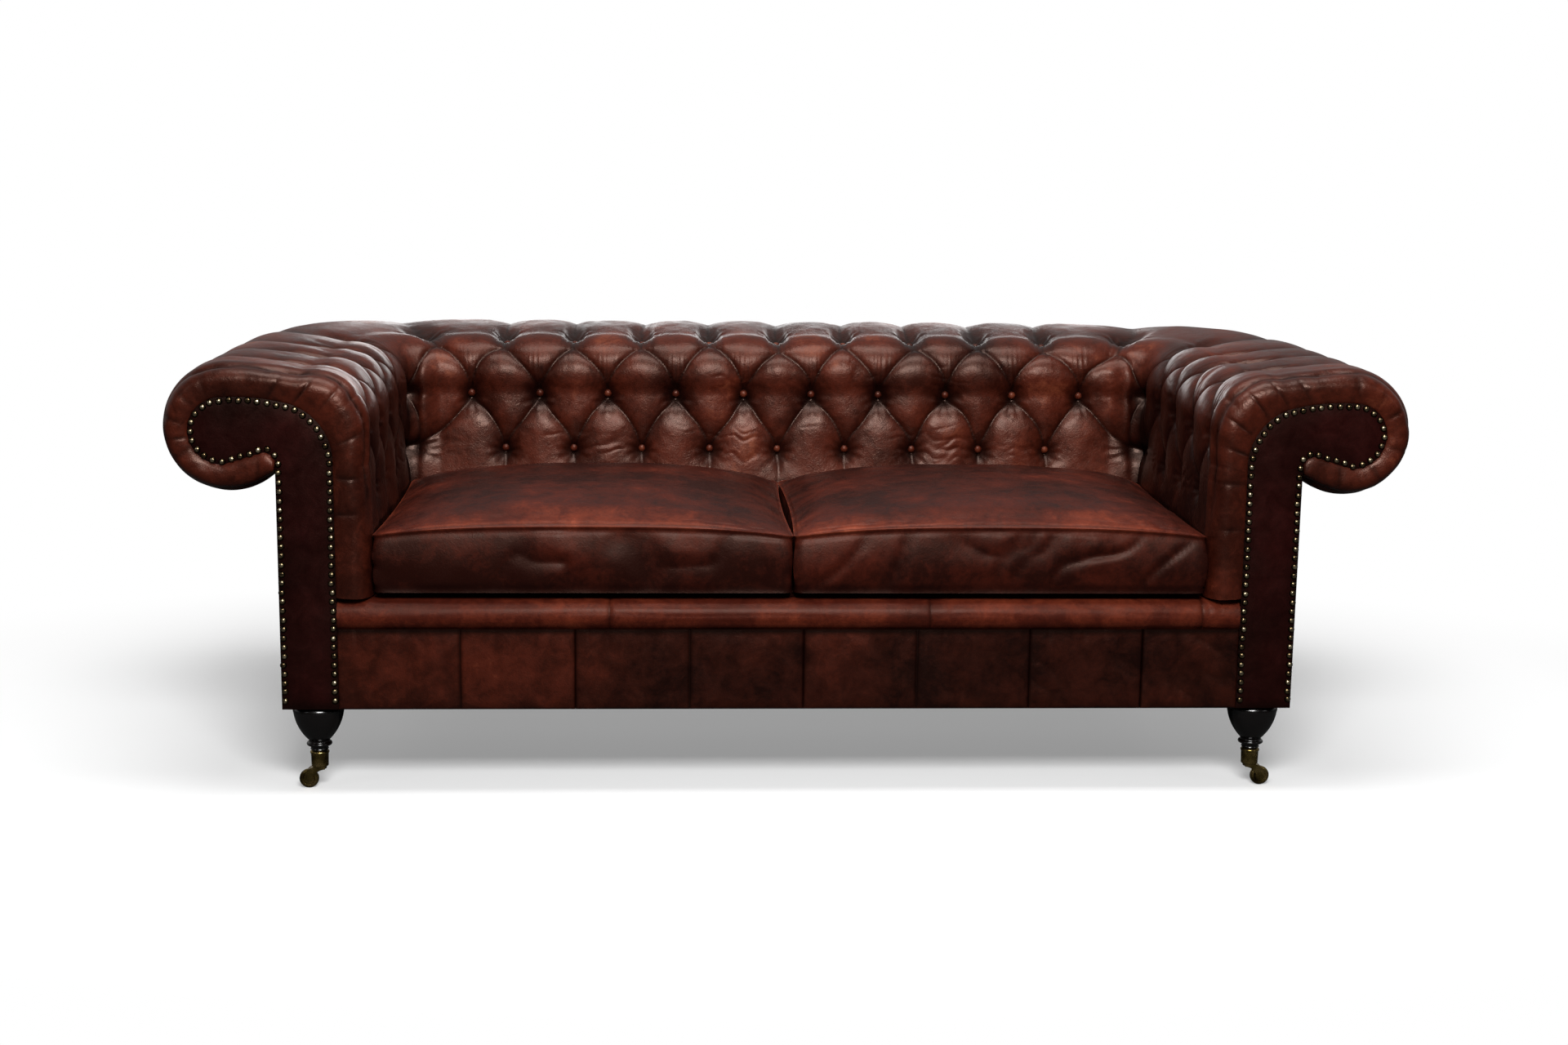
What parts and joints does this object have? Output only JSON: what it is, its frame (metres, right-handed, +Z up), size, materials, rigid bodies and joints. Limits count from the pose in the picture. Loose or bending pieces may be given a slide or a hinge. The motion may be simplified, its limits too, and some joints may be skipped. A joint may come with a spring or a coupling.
{
  "type": "chesterfield sofa",
  "caption": "Deep-buttoned chesterfield sofa in brown leather with scroll arms, brass nails, loose seat cushions and turned legs on brass castors.",
  "frame": {"origin": "on the floor under the middle of the overall box", "axes": "+X to the right seen from the front, +Y towards the back, +Z up"},
  "size_m": [2.094, 0.9456, 0.735],
  "materials": {
    "leather": "hand-rubbed antique oxblood brown, semi-gloss",
    "facing_leather": "darker maroon, semi-gloss",
    "leg_wood": "near-black polished",
    "brass": "antique",
    "frame_wood": "plain sawn hardwood",
    "foam": "upholstery foam",
    "cloth": "black woven lining",
    "steel": "spring steel"
  },
  "bodies": {
    "root": {"arm_buttons": "leather", "arm_facing_left": "facing_leather", "arm_facing_right": "facing_leather", "arm_foam_left": "foam", "arm_foam_right": "foam", "arm_front_post_left": "frame_wood", "arm_front_post_right": "frame_wood", "arm_posts": "frame_wood", "arm_stuffing_rails": "frame_wood", "arm_top_rails": "frame_wood", "back_buttons": "leather", "back_foam": "foam", "back_posts": "frame_wood", "back_stuffing_rail": "frame_wood", "back_top_rail": "frame_wood", "castor_cups": "brass", "corner_blocks": "frame_wood", "deck_cover": "cloth", "deck_pad": "foam", "dust_cover": "cloth", "facing_nails": "brass", "frame_dowels": "frame_wood", "front_border": "leather", "front_lip": "leather", "front_lip_foam": "foam", "inside_arm_cover_left": "leather", "inside_arm_cover_right": "leather", "inside_back_cover": "leather", "leg_bolts": "steel", "leg_front_left": "leg_wood", "leg_front_right": "leg_wood", "leg_rear_left": "leg_wood", "leg_rear_right": "leg_wood", "outside_arm_cover_left": "leather", "outside_arm_cover_right": "leather", "outside_back_cover": "leather", "rear_corner_posts": "frame_wood", "seat_back_rail": "frame_wood", "seat_centre_rail": "frame_wood", "seat_front_rail": "frame_wood", "seat_side_rails": "frame_wood", "seat_springs": "steel", "spring_clips": "steel"},
    "castor_front_left": {"castor_horn_front_left": "brass", "castor_axle_front_left": "brass"},
    "wheel_front_left": {"castor_wheel_front_left": "brass"},
    "castor_front_right": {"castor_horn_front_right": "brass", "castor_axle_front_right": "brass"},
    "wheel_front_right": {"castor_wheel_front_right": "brass"},
    "castor_rear_left": {"castor_horn_rear_left": "brass", "castor_axle_rear_left": "brass"},
    "wheel_rear_left": {"castor_wheel_rear_left": "brass"},
    "castor_rear_right": {"castor_horn_rear_right": "brass", "castor_axle_rear_right": "brass"},
    "wheel_rear_right": {"castor_wheel_rear_right": "brass"},
    "cushion_left": {"cushion_cover_left": "leather", "cushion_core_left": "foam"},
    "cushion_right": {"cushion_cover_right": "leather", "cushion_core_right": "foam"}
  },
  "joints": [
    {"name": "castor_swivel_front_left", "type": "hinge", "parent": "root", "child": "castor_front_left", "pos_m": [-0.805, -0.41925, 0.038], "axis": [0, 0, 1], "continuous": true},
    {"name": "wheel_roll_front_left", "type": "hinge", "parent": "castor_front_left", "child": "wheel_front_left", "pos_m": [-0.824, -0.41925, 0.0165], "axis": [0, 1, 0], "continuous": true},
    {"name": "castor_swivel_front_right", "type": "hinge", "parent": "root", "child": "castor_front_right", "pos_m": [0.805, -0.41925, 0.038], "axis": [0, 0, 1], "continuous": true},
    {"name": "wheel_roll_front_right", "type": "hinge", "parent": "castor_front_right", "child": "wheel_front_right", "pos_m": [0.824, -0.41925, 0.0165], "axis": [0, 1, 0], "continuous": true},
    {"name": "castor_swivel_rear_left", "type": "hinge", "parent": "root", "child": "castor_rear_left", "pos_m": [-0.805, 0.23375, 0.038], "axis": [0, 0, 1], "continuous": true},
    {"name": "wheel_roll_rear_left", "type": "hinge", "parent": "castor_rear_left", "child": "wheel_rear_left", "pos_m": [-0.824, 0.23375, 0.0165], "axis": [0, 1, 0], "continuous": true},
    {"name": "castor_swivel_rear_right", "type": "hinge", "parent": "root", "child": "castor_rear_right", "pos_m": [0.805, 0.23375, 0.038], "axis": [0, 0, 1], "continuous": true},
    {"name": "wheel_roll_rear_right", "type": "hinge", "parent": "castor_rear_right", "child": "wheel_rear_right", "pos_m": [0.824, 0.23375, 0.0165], "axis": [0, 1, 0], "continuous": true},
    {"name": "cushion_lift_left", "type": "slide", "parent": "root", "child": "cushion_left", "axis": [0, 0, 1], "range_m": [0, 0.42]},
    {"name": "cushion_lift_right", "type": "slide", "parent": "root", "child": "cushion_right", "axis": [0, 0, 1], "range_m": [0, 0.42]}
  ]
}
